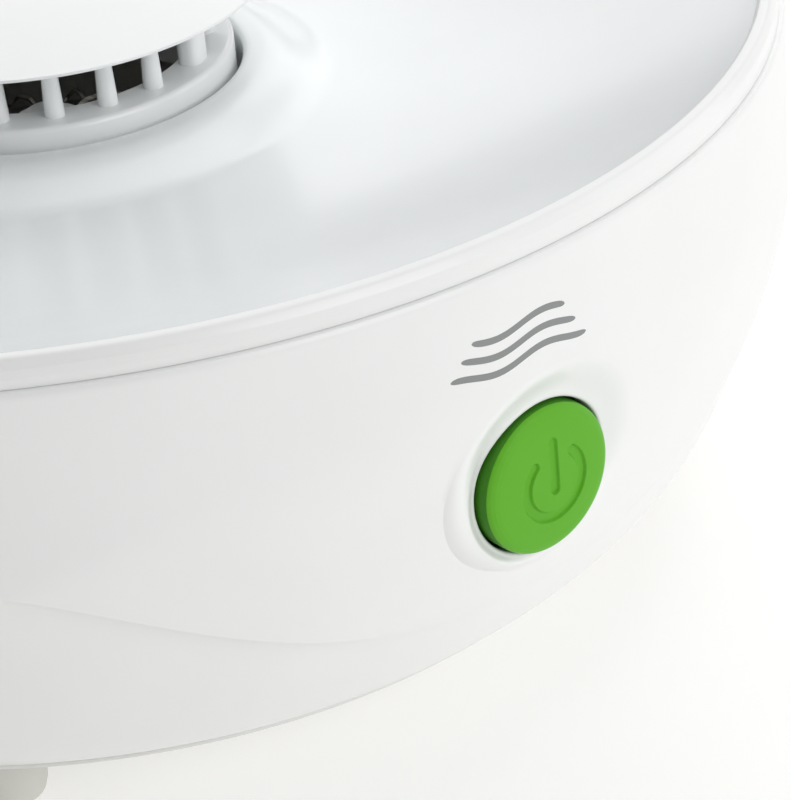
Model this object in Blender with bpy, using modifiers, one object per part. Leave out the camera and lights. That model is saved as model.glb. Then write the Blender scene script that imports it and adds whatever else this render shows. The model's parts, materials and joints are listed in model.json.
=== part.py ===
"""Powered base of a round food dehydrator: bowl-shaped casing, dished top with
a central air outlet hub, fan, heater, motor, push button and feet.
Frame: origin on the ground under the hub, +Z up, push button facing -Y."""

import math

import bmesh
import bpy
from mathutils import Matrix, Vector

for old in list(bpy.data.objects):
    bpy.data.objects.remove(old, do_unlink=True)

# ---------------------------------------------------------------- dimensions, mm
SEAM_Z = 118.0          # joint between the casing bowl and the dished top
SEAM_R = 164.5          # radius at that joint
WALL_R = 165.5          # widest radius of the bowl
WALL_T = 2.4            # moulded wall thickness
WALL_FULL_Z = 95.0      # the bowl starts to draw in below this height
WALL_LOW_Z = 16.0       # lower edge of the bowl
RIM_Z = 123.1           # top of the rim that carries the trays
RIM_IN_R = 159.6        # inner edge of the rim
VALLEY_R = 66.0         # lowest ring of the dished top
VALLEY_Z = 103.0
MOUND_Z = 109.2         # raised ring round the hub well
WELL_R = 45.4           # bore of the well
COLLAR_R = 43.8         # hub collar inside the well
LEDGE_Z = 113.0         # ring that the hub posts stand on
LEDGE_IN_R = 34.0
POST_R = 37.4           # pitch radius of the hub posts
POST_PITCH = 20.0       # degrees between posts
POST_PHASE = -28.0
WIDE_POSTS = (30.2, 150.2, 270.2)
POST_TOP_Z = 125.6
CAP_R = 52.5            # mushroom cap over the hub
CAP_EDGE_Z = 128.3
CAP_TOP_Z = 132.0
COVER_Z = 12.0          # underside of the bottom cover
COVER_T = 2.4
COVER_R = 134.4
FOOT_R = 9.0
FOOT_RING_R = 122.0
CASE_SCREW = (103.5, 42.9)
BUTTON_Z = 66.75
BUTTON_FACE_Y = -163.4
BUTTON_R = 15.9
BUTTON_HOLE_R = 16.5
BUTTON_RING_Y = -159.2
SCOOP_R = 23.4
GLAND_Z = 60.0
DUCT_R = 50.0
DUCT_LOW_R = 65.0
FAN_Z = 61.5
FAN_H = 13.0
FAN_TIP_R = 44.6
SHAFT_R = 1.6
GAP = 0.3

ROUND = 36              # steps round the three large mouldings

MM = 0.001

parts = bpy.data.collections.new("food_dehydrator_base")
cutters = bpy.data.collections.new("cutters")
for group in (parts, cutters):
    bpy.context.scene.collection.children.link(group)


# ---------------------------------------------------------------- helpers
def material(name, colour, roughness, metallic=0.0):
    made = bpy.data.materials.new(name)
    made.use_nodes = True
    shader = made.node_tree.nodes["Principled BSDF"]
    shader.inputs["Base Color"].default_value = (*colour, 1.0)
    shader.inputs["Roughness"].default_value = roughness
    shader.inputs["Metallic"].default_value = metallic
    made.diffuse_color = (*colour, 1.0)
    return made


def place(obj, mat=None):
    """A finished piece goes in the parts collection; without a material it is a cutter."""
    for group in list(obj.users_collection):
        group.objects.unlink(obj)
    if mat is None:
        cutters.objects.link(obj)
        obj.hide_render = True
        obj.display_type = "WIRE"
    else:
        parts.objects.link(obj)
        obj.data.materials.clear()
        obj.data.materials.append(mat)
    return obj


def smooth(mesh, angle=35.0):
    mesh.shade_smooth()
    mesh.set_sharp_from_angle(angle=math.radians(angle))


def from_bmesh(name, bm, mat=None, round_piece=True):
    mesh = bpy.data.meshes.new(name)
    bm.to_mesh(mesh)
    bm.free()
    if round_piece:
        smooth(mesh)
    return place(bpy.data.objects.new(name, mesh), mat)


def turned(name, profile, steps, mat=None, closed=False, at=(0, 0, 0), turn=(0, 0, 0)):
    """A profile of (radius, height) in mm, down its outer side, spun about its own Z."""
    mesh = bpy.data.meshes.new(name)
    edges = [(i, i + 1) for i in range(len(profile) - 1)]
    if closed:
        edges.append((len(profile) - 1, 0))
    mesh.from_pydata([(r * MM, 0.0, z * MM) for r, z in profile], edges, [])
    obj = place(bpy.data.objects.new(name, mesh), mat)
    obj.location = [c * MM for c in at]
    obj.rotation_euler = [math.radians(a) for a in turn]
    spin = obj.modifiers.new("spin", "SCREW")
    spin.axis = "Z"
    spin.angle = 2 * math.pi
    spin.screw_offset = 0.0
    spin.steps = steps
    spin.render_steps = steps
    spin.use_merge_vertices = True
    spin.merge_threshold = 0.00001
    spin.use_smooth_shade = True
    return obj


def shelled(obj, thickness):
    wall = obj.modifiers.new("wall", "SOLIDIFY")
    wall.thickness = thickness * MM
    wall.offset = -1.0
    wall.use_even_offset = True
    return obj


def boolean(obj, other, operation):
    step = obj.modifiers.new(operation.lower() + "_" + other.name, "BOOLEAN")
    step.operation = operation
    step.solver = "EXACT"
    step.object = other
    return obj


def cut(obj, *others):
    for other in others:
        boolean(obj, other, "DIFFERENCE")
    return obj


def join(obj, *others):
    for other in others:
        boolean(obj, other, "UNION")
    return obj


def add_cylinder(bm, r, z0, z1, x=0.0, y=0.0, sides=16, axis="Z", r2=None):
    """A closed cylinder or cone from z0 to z1 along an axis, its middle line at (x, y)."""
    length = z1 - z0
    made = bmesh.ops.create_cone(
        bm, cap_ends=True, segments=sides, radius1=r * MM,
        radius2=(r if r2 is None else r2) * MM, depth=length * MM)
    shift = Matrix.Translation((0, 0, (z0 + z1) / 2 * MM))
    if axis == "Y":      # local Z to world +Y; x stays, y is the height
        turn = Matrix.Rotation(math.radians(-90), 4, "X")
        move = Matrix.Translation((x * MM, 0, y * MM)) @ turn @ shift
    elif axis == "X":    # local Z to world +X; x is the world y, y is the height
        turn = Matrix.Rotation(math.radians(90), 4, "Y")
        move = Matrix.Translation((0, x * MM, y * MM)) @ turn @ shift
    else:
        move = Matrix.Translation((x * MM, y * MM, 0)) @ shift
    bmesh.ops.transform(bm, matrix=move, verts=made["verts"])
    return made["verts"]


def add_box(bm, low, high, turn=None):
    made = bmesh.ops.create_cube(bm, size=1.0)
    size = [(b - a) * MM for a, b in zip(low, high)]
    middle = Vector([(a + b) / 2 * MM for a, b in zip(low, high)])
    move = Matrix.Translation(middle) @ Matrix.Diagonal((*size, 1.0))
    if turn is not None:
        move = turn @ move
    bmesh.ops.transform(bm, matrix=move, verts=made["verts"])
    return made["verts"]


def spun(degrees):
    return Matrix.Rotation(math.radians(degrees), 4, "Z")


def bodies_of(name, build, mat=None, round_piece=True):
    bm = bmesh.new()
    build(bm)
    return from_bmesh(name, bm, mat, round_piece)


def block(name, low, high, mat=None, bevel=0.0, segments=1):
    obj = bodies_of(name, lambda bm: add_box(bm, low, high), mat, round_piece=False)
    if bevel:
        edge = obj.modifiers.new("edges", "BEVEL")
        edge.width = bevel * MM
        edge.segments = segments
        edge.limit_method = "ANGLE"
    return obj


def ring_points(r, sides, x=0.0, y=0.0, phase=0.0):
    return [(x + r * math.cos(2 * math.pi * (i + phase) / sides),
             y + r * math.sin(2 * math.pi * (i + phase) / sides)) for i in range(sides)]


def plate(name, outlines, z0, z1, mat):
    """A flat outline with its holes, from z0 to z1."""
    data = bpy.data.curves.new(name, "CURVE")
    data.dimensions = "2D"
    data.fill_mode = "BOTH"
    data.extrude = (z1 - z0) / 2 * MM
    for points in outlines:
        spline = data.splines.new("POLY")
        spline.points.add(len(points) - 1)
        for point, (x, y) in zip(spline.points, points):
            point.co = (x * MM, y * MM, 0, 1)
        spline.use_cyclic_u = True
    obj = place(bpy.data.objects.new(name, data), mat)
    obj.location = (0, 0, (z0 + z1) / 2 * MM)
    return obj


def wire(name, points, radius, mat, bevel_resolution=0):
    data = bpy.data.curves.new(name, "CURVE")
    data.dimensions = "3D"
    data.bevel_depth = radius * MM
    data.bevel_resolution = bevel_resolution
    data.use_fill_caps = True
    spline = data.splines.new("POLY")
    spline.points.add(len(points) - 1)
    for point, xyz in zip(spline.points, points):
        point.co = (*(c * MM for c in xyz), 1)
    return place(bpy.data.objects.new(name, data), mat)


def smooth_route(knots, per_span=5):
    """Points on a Catmull-Rom curve through the knots."""
    rows = [Vector(k) for k in knots]
    rows = [2 * rows[0] - rows[1]] + rows + [2 * rows[-1] - rows[-2]]
    out = []
    for i in range(1, len(rows) - 2):
        a, b, c, d = rows[i - 1:i + 3]
        for k in range(per_span):
            t = k / per_span
            out.append(0.5 * ((2 * b) + (c - a) * t + (2 * a - 5 * b + 4 * c - d) * t * t
                              + (3 * b - a - 3 * c + d) * t ** 3))
    out.append(rows[-2])
    return [tuple(p) for p in out]


def screw(name, x, y, top, length, mat, head_r=2.9, head_h=1.7, r=1.3, up=True, sides=8):
    """A pan-head screw; its head's flat underside is at height top, its shank below it."""
    profile = [(0, head_h), (head_r * 0.6, head_h), (head_r, head_h * 0.4), (head_r, 0),
               (r, 0), (r, -length), (0, -length)]
    return turned(name, profile, sides, mat, at=(x, y, top), turn=(0 if up else 180, 0, 0))


def polar(r, azimuth):
    """Azimuth 0 is the front (-Y) and it grows towards +X."""
    a = math.radians(azimuth)
    return r * math.sin(a), -r * math.cos(a)


def wall_radius(z):
    """Outer radius of the bowl: upright above, drawing in faster and faster below."""
    t = max(0.0, (WALL_FULL_Z - z) / (WALL_FULL_Z - WALL_LOW_Z))
    return WALL_R - 20.0 * t ** 1.5 - 10.4 * t ** 9


def dish_height(r):
    """Upper face of the dished top between the valley and the rim."""
    return VALLEY_Z + 17.5 * ((r - VALLEY_R) / (RIM_IN_R - VALLEY_R)) ** 2


# ---------------------------------------------------------------- materials
white = (0.86, 0.865, 0.86)
m_shell = material("bowl_white", white, 0.28)
m_dish = material("dish_white", (0.83, 0.85, 0.85), 0.16)
m_hub = material("hub_white", (0.82, 0.84, 0.84), 0.25)
m_cover = material("cover_grey_white", (0.70, 0.71, 0.68), 0.45)
m_foot = material("foot_grey", (0.55, 0.55, 0.50), 0.7)
m_button = material("button_green", (0.09, 0.38, 0.02), 0.35)
m_black = material("black_plastic", (0.02, 0.02, 0.02), 0.5)
m_steel = material("zinc_steel", (0.6, 0.6, 0.6), 0.35, 1.0)
m_core = material("silicon_steel", (0.35, 0.35, 0.37), 0.5, 1.0)
m_brass = material("brass", (0.72, 0.52, 0.2), 0.35, 1.0)
m_copper = material("copper_wire", (0.72, 0.30, 0.14), 0.35, 1.0)
m_mica = material("mica_board", (0.55, 0.45, 0.30), 0.6)
m_nichrome = material("heater_wire", (0.45, 0.42, 0.38), 0.4, 1.0)
m_nylon = material("natural_nylon", (0.80, 0.78, 0.70), 0.5)
m_wire = material("wire_sleeve", (0.75, 0.72, 0.66), 0.6)
m_duct = material("duct_grey", (0.50, 0.50, 0.50), 0.5)

# ---------------------------------------------------------------- casing bowl
steps_down = 9
wall_profile = [(SEAM_R + 0.3, SEAM_Z - 0.4), (WALL_R, SEAM_Z - 1.5), (WALL_R, WALL_FULL_Z)]
for i in range(1, steps_down + 1):
    u = i / steps_down
    z = WALL_FULL_Z - (WALL_FULL_Z - WALL_LOW_Z) * (1 - (1 - u) ** 1.35)
    wall_profile.append((wall_radius(z), z))
outer_shell = shelled(turned("outer_shell", wall_profile, ROUND, m_shell), WALL_T)

# thickened seat round the push button: a backing that leans with the wall and an upright ring
lean = math.atan((wall_radius(BUTTON_Z + 1) - wall_radius(BUTTON_Z - 1)) / 2)
seat_frame = (Matrix.Translation((0, -wall_radius(BUTTON_Z) * MM, BUTTON_Z * MM))
              @ Matrix.Rotation(lean, 4, "X"))


def build_seat(bm):
    verts = add_cylinder(bm, SCOOP_R + 2.6, 2.6, 8.6, sides=28, axis="Y")
    bmesh.ops.transform(bm, matrix=seat_frame, verts=verts)


def build_ring_seat(bm):
    add_cylinder(bm, 18.8, BUTTON_RING_Y, -150.6, y=BUTTON_Z, sides=28, axis="Y")


def build_scoop(bm):
    made = bmesh.ops.create_uvsphere(bm, u_segments=28, v_segments=14, radius=1.0)
    bmesh.ops.transform(
        bm, matrix=Matrix.Translation((0, -wall_radius(BUTTON_Z) * MM, BUTTON_Z * MM))
        @ Matrix.Rotation(lean / 2 + math.radians(90), 4, "X")
        @ Matrix.Diagonal((SCOOP_R * MM, SCOOP_R * MM, 3.3 * MM, 1.0)), verts=made["verts"])


button_seat = bodies_of("button_seat", build_seat)
gland_pad = bodies_of("gland_pad", lambda bm: add_cylinder(
    bm, 11.5, 154.0, 162.9, y=GLAND_Z, sides=24, axis="Y"))
button_scoop = bodies_of("button_scoop", build_scoop)


def build_wall_holes(bm):
    add_cylinder(bm, BUTTON_HOLE_R, -180.0, -140.0, y=BUTTON_Z, sides=32, axis="Y")
    add_cylinder(bm, 6.9, 145.0, 175.0, y=GLAND_Z, sides=20, axis="Y")


wall_holes = bodies_of("wall_holes", build_wall_holes)
join(outer_shell, button_seat, bodies_of("button_ring_seat", build_ring_seat), gland_pad)
cut(outer_shell, button_scoop, wall_holes)

# ---------------------------------------------------------------- dished top
top_side = [(WELL_R, 96.0), (WELL_R, MOUND_Z - 1.2), (WELL_R + 1.0, MOUND_Z - 0.2),
            (WELL_R + 4.0, MOUND_Z)]
for i in range(1, 4):                       # mound falling into the valley
    u = i / 4
    r = WELL_R + 4.0 + (VALLEY_R - WELL_R - 4.0) * u
    top_side.append((r, VALLEY_Z + (MOUND_Z - VALLEY_Z) * (0.5 + 0.5 * math.cos(math.pi * u))))
for i in range(0, 6):                       # dish rising to the rim
    r = VALLEY_R + (RIM_IN_R - 0.8 - VALLEY_R) * i / 5
    top_side.append((r, dish_height(r)))
top_side += [(RIM_IN_R, RIM_Z - 0.9), (RIM_IN_R + 0.8, RIM_Z), (RIM_IN_R + 2.6, RIM_Z),
             (SEAM_R - 0.9, RIM_Z - 1.7), (SEAM_R - 0.3, SEAM_Z + 1.0), (SEAM_R - 0.4, SEAM_Z)]
under = [(162.6, SEAM_Z), (162.6, 110.0), (160.4, 110.0), (160.2, SEAM_Z)]
for i in range(0, 5):
    r = RIM_IN_R - 2.0 + (VALLEY_R - RIM_IN_R + 2.0) * i / 4
    under.append((r, dish_height(r) - WALL_T))
under += [(WELL_R + 6.0, MOUND_Z - 3.2), (WELL_R + 2.4, MOUND_Z - 3.4), (WELL_R + 2.4, 96.0)]
top_dish = turned("top_dish", top_side + under, ROUND, m_dish, closed=True)


def build_columns(bm):
    for sx in (-1, 1):
        for sy in (-1, 1):
            add_cylinder(bm, 4.6, 24.0, 106.0, CASE_SCREW[0] * sx, CASE_SCREW[1] * sy,
                         sides=12, r2=5.6)


def build_pilots(bm):
    for sx in (-1, 1):
        for sy in (-1, 1):
            add_cylinder(bm, 2.0, 20.0, 40.0, CASE_SCREW[0] * sx, CASE_SCREW[1] * sy, sides=10)


join(top_dish, bodies_of("dish_columns", build_columns))
cut(top_dish, bodies_of("column_pilots", build_pilots))

# ---------------------------------------------------------------- hub
hub_grille = turned("hub_grille", [
    (LEDGE_IN_R, 104.0), (LEDGE_IN_R, LEDGE_Z - 0.5), (LEDGE_IN_R + 0.5, LEDGE_Z),
    (41.2, LEDGE_Z), (43.1, LEDGE_Z - 0.9), (COLLAR_R, LEDGE_Z - 3.0),
    (COLLAR_R, 95.7), (47.6, 95.7), (47.6, 93.3), (41.4, 93.3), (41.4, LEDGE_Z - 2.4),
    (35.2, LEDGE_Z - 2.4), (35.2, 104.0)], 36, m_hub, closed=True)


def post_azimuths():
    count = round(360 / POST_PITCH)
    for i in range(count):
        azimuth = (POST_PHASE + POST_PITCH * i) % 360
        if min(abs((azimuth - w + 180) % 360 - 180) for w in WIDE_POSTS) > POST_PITCH / 2:
            yield azimuth


def build_posts(bm):
    for azimuth in post_azimuths():
        x, y = polar(POST_R, azimuth)
        add_cylinder(bm, 2.45, LEDGE_Z - 1.2, POST_TOP_Z, x, y, sides=7, r2=1.9)
    for azimuth in WIDE_POSTS:
        add_box(bm, (-3.9, -POST_R - 2.9, LEDGE_Z - 1.2), (3.9, -POST_R + 2.6, POST_TOP_Z),
                turn=spun(azimuth))


def build_post_bores(bm):
    for azimuth in WIDE_POSTS:
        x, y = polar(POST_R + 0.7, azimuth)
        add_cylinder(bm, 1.7, 100.0, 130.0, x, y, sides=10)


join(hub_grille, bodies_of("hub_posts", build_posts))
cut(hub_grille, bodies_of("post_bores", build_post_bores))


def cap_height(r):
    return CAP_TOP_Z - (CAP_TOP_Z - CAP_EDGE_Z) * (r / CAP_R) ** 2


hub_cap = turned("hub_cap",
                 [(r, cap_height(r)) for r in (0, 17, 33, 45)]
                 + [(CAP_R - 0.6, CAP_EDGE_Z - 0.1), (CAP_R, CAP_EDGE_Z - 0.8),
                    (CAP_R - 1.0, CAP_EDGE_Z - 2.2),
                    (41.6, CAP_EDGE_Z - 2.2), (41.3, POST_TOP_Z + GAP),
                    (33.2, POST_TOP_Z + GAP), (32.8, 128.0), (0, CAP_TOP_Z - 2.4)],
                 32, m_hub)


def build_cap_pilots(bm):
    for azimuth in WIDE_POSTS:
        x, y = polar(POST_R + 0.7, azimuth)
        add_cylinder(bm, 1.6, 120.0, 129.0, x, y, sides=10)


cut(hub_cap, bodies_of("cap_pilots", build_cap_pilots))
for i, azimuth in enumerate(WIDE_POSTS, 1):
    x, y = polar(POST_R + 0.7, azimuth)
    screw(f"cap_screw_{i}", x, y, LEDGE_Z - 2.4 - GAP, 17.6, m_steel, head_r=2.5, head_h=1.6,
          r=1.2, up=False)

# ---------------------------------------------------------------- bottom cover
bottom_cover = turned("bottom_cover", [
    (0, COVER_Z + COVER_T), (130.6, COVER_Z + COVER_T), (130.6, 19.6), (132.0, 19.6),
    (132.2, 15.3), (COVER_R, 15.5), (COVER_R, 14.6), (COVER_R - 1.0, 13.0),
    (COVER_R - 3.4, COVER_Z), (0, COVER_Z)], ROUND, m_cover)
bracket_feet = [(sx * 13.0, -114.0) for sx in (-1, 1)]
duct_feet = [polar(69.4, a) for a in (40, 160, 280)]
motor_posts = [(-48.0, 0.0), (48.0, 0.0)]
terminal_foot = (-90.0, 0.0)
feet = {"foot_front_left": -45, "foot_front_right": 45, "foot_rear_right": 135, "foot_rear_left": -135}


def build_bosses(bm):
    low = COVER_Z + 1.0
    for sx in (-1, 1):
        for sy in (-1, 1):
            add_cylinder(bm, 6.2, low, 23.6, CASE_SCREW[0] * sx, CASE_SCREW[1] * sy, sides=12, r2=5.4)
    for x, y in bracket_feet:
        add_cylinder(bm, 4.0, low, 18.1, x, y, sides=12)
    for x, y in duct_feet:
        add_cylinder(bm, 3.6, low, 16.5, x, y, sides=12)
    for x, y in motor_posts:
        add_cylinder(bm, 5.2, low, 25.7, x, y, sides=12, r2=4.4)
    add_cylinder(bm, 3.6, low, 17.4, *terminal_foot, sides=12)


def build_cover_holes(bm):
    for sx in (-1, 1):
        for sy in (-1, 1):
            add_cylinder(bm, 2.2, 10.0, 26.0, CASE_SCREW[0] * sx, CASE_SCREW[1] * sy, sides=10)
    for x, y in bracket_feet:
        add_cylinder(bm, 1.65, 14.0, 20.0, x, y, sides=8)
    for x, y in duct_feet:
        add_cylinder(bm, 1.65, 14.0, 18.0, x, y, sides=8)
    for x, y in motor_posts:
        add_cylinder(bm, 1.65, 16.0, 28.0, x, y, sides=8)
    add_cylinder(bm, 1.65, 14.0, 20.0, *terminal_foot, sides=8)
    for azimuth in feet.values():
        x, y = polar(FOOT_RING_R, azimuth)
        add_cylinder(bm, 3.9, 10.0, 16.0, x, y, sides=12)


def build_counterbores(bm):
    for sx in (-1, 1):
        for sy in (-1, 1):
            add_cylinder(bm, 4.1, 10.0, 16.0, CASE_SCREW[0] * sx, CASE_SCREW[1] * sy, sides=12)


def build_intake(bm):
    for i in range(12):                      # inner ring of slots
        add_box(bm, (18.0, -1.6, 10.0), (39.0, 1.6, 16.0), turn=spun(360 / 12 * (i + 0.5)))
    for i in range(20):                      # outer ring, leaving room for the motor posts
        if i % 10:
            add_box(bm, (42.5, -1.7, 10.0), (60.0, 1.7, 16.0), turn=spun(360 / 20 * i))


join(bottom_cover, bodies_of("cover_bosses", build_bosses))
cut(bottom_cover, bodies_of("cover_holes", build_cover_holes),
    bodies_of("cover_counterbores", build_counterbores), bodies_of("intake_slots", build_intake))

for name, azimuth in feet.items():
    x, y = polar(FOOT_RING_R, azimuth)
    turned(name, [(0, 17.2), (3.5, 16.8), (3.5, COVER_Z - 0.4), (FOOT_R, COVER_Z - 0.4),
                  (FOOT_R - 0.8, 3.0), (FOOT_R - 2.6, 0.0), (0, 0.0)], 16, m_foot, at=(x, y, 0))

for i, (sx, sy) in enumerate(((-1, -1), (1, -1), (1, 1), (-1, 1)), 1):
    screw(f"case_screw_{i}", CASE_SCREW[0] * sx, CASE_SCREW[1] * sy, 15.6, 20.0, m_steel,
          head_r=3.6, head_h=2.3, r=1.6, up=False)

# ---------------------------------------------------------------- air duct
air_duct = shelled(turned("air_duct", [(DUCT_R, 96.4), (DUCT_R, 63.0), (DUCT_LOW_R, 54.0),
                                       (DUCT_LOW_R, 18.4), (73.0, 18.4)], 28, m_duct), 1.5)


def build_duct_holes(bm):
    for x, y in duct_feet:
        add_cylinder(bm, 1.65, 15.0, 20.0, x, y, sides=8)
    add_cylinder(bm, 3.0, -70.0, -58.0, x=14.0, y=24.0, sides=10, axis="X")


def build_heater_passage(bm):
    add_cylinder(bm, 2.4, -56.0, -40.0, x=12.0, y=86.0, sides=10, axis="X")


duct_holes = bodies_of("duct_holes", build_duct_holes)
heater_passage = bodies_of("heater_passage", build_heater_passage)
cut(air_duct, duct_holes, heater_passage)
for i, (x, y) in enumerate(duct_feet, 1):
    screw(f"duct_screw_{i}", x, y, 18.4 + GAP, 3.8, m_steel, head_r=2.7)

# ---------------------------------------------------------------- motor
strip = [(-54, -8), (-51, -11), (51, -11), (54, -8), (54, 8), (51, 11), (-51, 11), (-54, 8)]
plate("motor_bracket", [strip, ring_points(8.6, 20)] + [ring_points(1.8, 10, x) for x in (-48, -25, 25, 48)],
      26.0, 27.6, m_steel)
for side, (x, y) in zip(("left", "right"), motor_posts):
    screw(f"bracket_screw_{side}", x, y, 27.6 + GAP, 8.5, m_steel)

core_z0, core_z1 = 34.5, 49.5
outline = [(-30, -14), (-27, -17), (27, -17), (30, -14), (30, 40), (28, 42), (-28, 42), (-30, 40)]
window = [(-20, 17.6), (20, 17.6), (20, 31), (-20, 31)]
plate("stator_core", [outline, ring_points(14.3, 28), window] + [ring_points(1.9, 10, x) for x in (-25, 25)],
      core_z0, core_z1, m_core)


def build_bobbin(bm):
    add_box(bm, (-18.4, 29.5, core_z0 - 1.5), (18.4, 43.5, core_z1 + 1.5))


def build_bobbin_flanges(bm):
    for x in (-18.4, 17.2):
        add_box(bm, (x, 23.6, 27.2), (x + 1.2, 49.4, 56.8))


def build_bobbin_bore(bm):
    add_box(bm, (-22, 30.7, core_z0 - GAP), (22, 42.3, core_z1 + GAP))


coil_bobbin = bodies_of("coil_bobbin", build_bobbin, m_nylon, round_piece=False)
join(coil_bobbin, bodies_of("bobbin_flanges", build_bobbin_flanges, round_piece=False))
cut(coil_bobbin, bodies_of("bobbin_bore", build_bobbin_bore, round_piece=False))
motor_winding = block("motor_winding", (-16.8, 24.4, 27.9), (16.8, 48.6, 56.1), m_copper, bevel=2.5, segments=2)
cut(motor_winding, block("winding_bore", (-20, 29.2, core_z0 - 1.8), (20, 43.8, core_z1 + 1.8)))


def bearing_bracket(name, bar_z0, bar_z1, foot_z0, foot_z1, boss_z0, boss_z1):
    def build_bar(bm):
        add_box(bm, (-30, -8, bar_z0), (30, 8, bar_z1))

    def build_extra(bm):
        for x in (-30, 20):
            add_box(bm, (x + 0.2, -7.6, foot_z0), (x + 9.8, 7.6, foot_z1))
        add_cylinder(bm, 7.5, boss_z0, boss_z1, sides=20)

    def build_holes(bm):
        low, high = min(boss_z0, foot_z0) - 2, max(boss_z1, foot_z1) + 2
        add_cylinder(bm, 4.35, low, high, sides=20)
        for x in (-25, 25):
            add_cylinder(bm, 1.9, low, high, x, 0, sides=10)

    obj = bodies_of(name, build_bar, m_steel)
    join(obj, bodies_of(name + "_extra", build_extra))
    cut(obj, bodies_of(name + "_holes", build_holes))
    return obj


bearing_bracket("lower_bearing_bracket", 28.0, 31.0, 30.5, 34.2, 22.5, 28.5)
bearing_bracket("upper_bearing_bracket", 53.0, 56.0, 49.8, 53.5, 55.5, 59.2)
for name, z0, z1 in (("lower_bearing", 23.0, 30.6), ("upper_bearing", 53.4, 58.8)):
    turned(name, [(1.71, z0), (1.71, z1), (3.6, z1), (4.0, z1 - 0.4), (4.0, z0 + 0.4), (3.6, z0)],
           14, m_brass, closed=True)
for side, x in (("left", -25.0), ("right", 25.0)):
    turned(f"motor_screw_{side}", [(0, 58.2), (1.7, 58.2), (3.0, 57.4), (3.0, 56.3), (1.5, 56.3),
                                   (1.5, 22.0), (0, 22.0)], 8, m_steel, at=(x, 0, 0))
    turned(f"motor_nut_{side}", [(1.9, 23.2), (1.9, 25.7), (3.2, 25.7), (3.2, 23.2)], 6, m_steel,
           closed=True, at=(x, 0, 0))

# ---------------------------------------------------------------- fan body, spins about Z
turned("motor_shaft", [(0, 79.0), (1.2, 79.0), (SHAFT_R, 78.5), (SHAFT_R, 22.4), (1.2, 22.0), (0, 22.0)],
       16, m_steel)
turned("motor_rotor", [(1.95, 33.6), (1.95, 50.4), (12.6, 50.4), (13.6, 49.4), (13.6, 34.6), (12.6, 33.6)],
       20, m_core, closed=True)
fan_impeller = turned("fan_impeller", [
    (1.95, FAN_Z), (1.95, FAN_Z + FAN_H), (9.4, FAN_Z + FAN_H), (11.0, FAN_Z + FAN_H - 1.6),
    (11.0, FAN_Z)], 20, m_nylon, closed=True)


def build_blades(bm):
    for i in range(7):
        turn = (spun(360 / 7 * i) @ Matrix.Translation((0, 0, (FAN_Z + FAN_H / 2) * MM))
                @ Matrix.Rotation(math.radians(32), 4, "X"))
        verts = add_box(bm, (9.6, -9.0, -0.7), (FAN_TIP_R - 1.0, 9.0, 0.7))
        for v in verts:                      # narrower at the root, wider at the tip
            v.co.y *= 0.62 if v.co.x < 0.02 else 1.0
        bmesh.ops.transform(bm, matrix=turn, verts=verts)


join(fan_impeller, bodies_of("fan_blades", build_blades, round_piece=False))
turned("fan_clip", [(1.95, 74.8), (1.95, 77.0), (3.4, 77.0), (4.2, 76.2), (4.2, 74.8)], 12, m_steel, closed=True)

# ---------------------------------------------------------------- heater
heat_shield = turned("heat_shield", [(46.4, 80.0), (46.4, 92.8), (47.4, 92.8), (47.4, 80.0)], 28, m_steel,
                     closed=True)
cut(heat_shield, heater_passage)
board_z0, board_z1, coil_z = 81.0, 92.0, 86.5
heater_board_x = block("heater_board_x", (-46.0, -0.5, board_z0), (46.0, 0.5, board_z1), m_mica)
heater_board_y = block("heater_board_y", (-0.5, -46.0, board_z0), (0.5, 46.0, board_z1), m_mica)


def board_cutter(name, axis, low, high):
    def build(bm):
        for s in (-30.0, 30.0):
            if axis == "Y":
                add_cylinder(bm, 4.5, -3.0, 3.0, x=s, y=coil_z, sides=14, axis="Y")
            else:
                add_cylinder(bm, 4.5, -3.0, 3.0, x=s, y=coil_z, sides=14, axis="X")
        add_box(bm, (-0.8, -0.8, low), (0.8, 0.8, high))
    return bodies_of(name, build, round_piece=False)


cut(heater_board_x, board_cutter("board_x_cut", "Y", coil_z - 0.15, board_z1 + 1))
cut(heater_board_y, board_cutter("board_y_cut", "X", board_z0 - 1, coil_z + 0.15))
turns, per_turn = 14, 6
helix = []
for i in range(turns * per_turn + 1):
    a = math.radians(8 + 344 * i / (turns * per_turn))
    b = 2 * math.pi * i / per_turn
    r = 30.0 + 3.2 * math.cos(b)
    helix.append((-r * math.cos(a), r * math.sin(a), coil_z + 3.2 * math.sin(b)))
wire("heater_coil", helix, 0.55, m_nichrome, 1)
turned("thermostat", [(0, 98.4), (4.6, 98.4), (4.8, 96.6), (7.6, 96.6), (8.0, 96.2), (8.0, 92.6),
                      (7.6, 92.4), (0, 92.4)], 20, m_steel)
turned("thermal_fuse", [(0, 6.5), (1.3, 6.5), (1.9, 5.8), (1.9, -5.8), (1.3, -6.5), (0, -6.5)], 12, m_nylon,
       at=(16.0, 3.2, 89.0), turn=(0, 90, 0))

# ---------------------------------------------------------------- wiring
terminal_block = block("terminal_block", (-98.0, -16.0, 17.8), (-82.0, 16.0, 28.6), m_nylon, bevel=0.8)


def build_wire_bores(bm):
    for y in (-10.0, 10.0):
        add_cylinder(bm, 2.0, -101.0, -79.0, x=y, y=22.5, sides=10, axis="X")


cut(terminal_block, bodies_of("terminal_wire_bores", build_wire_bores),
    bodies_of("terminal_screw_sink", lambda bm: add_cylinder(bm, 3.4, 24.0, 32.0, *terminal_foot, sides=10)),
    bodies_of("terminal_screw_bore", lambda bm: add_cylinder(bm, 1.8, 15.0, 25.0, *terminal_foot, sides=8)))
screw("terminal_screw", *terminal_foot, 24.3, 9.0, m_steel, head_r=2.8)

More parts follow.
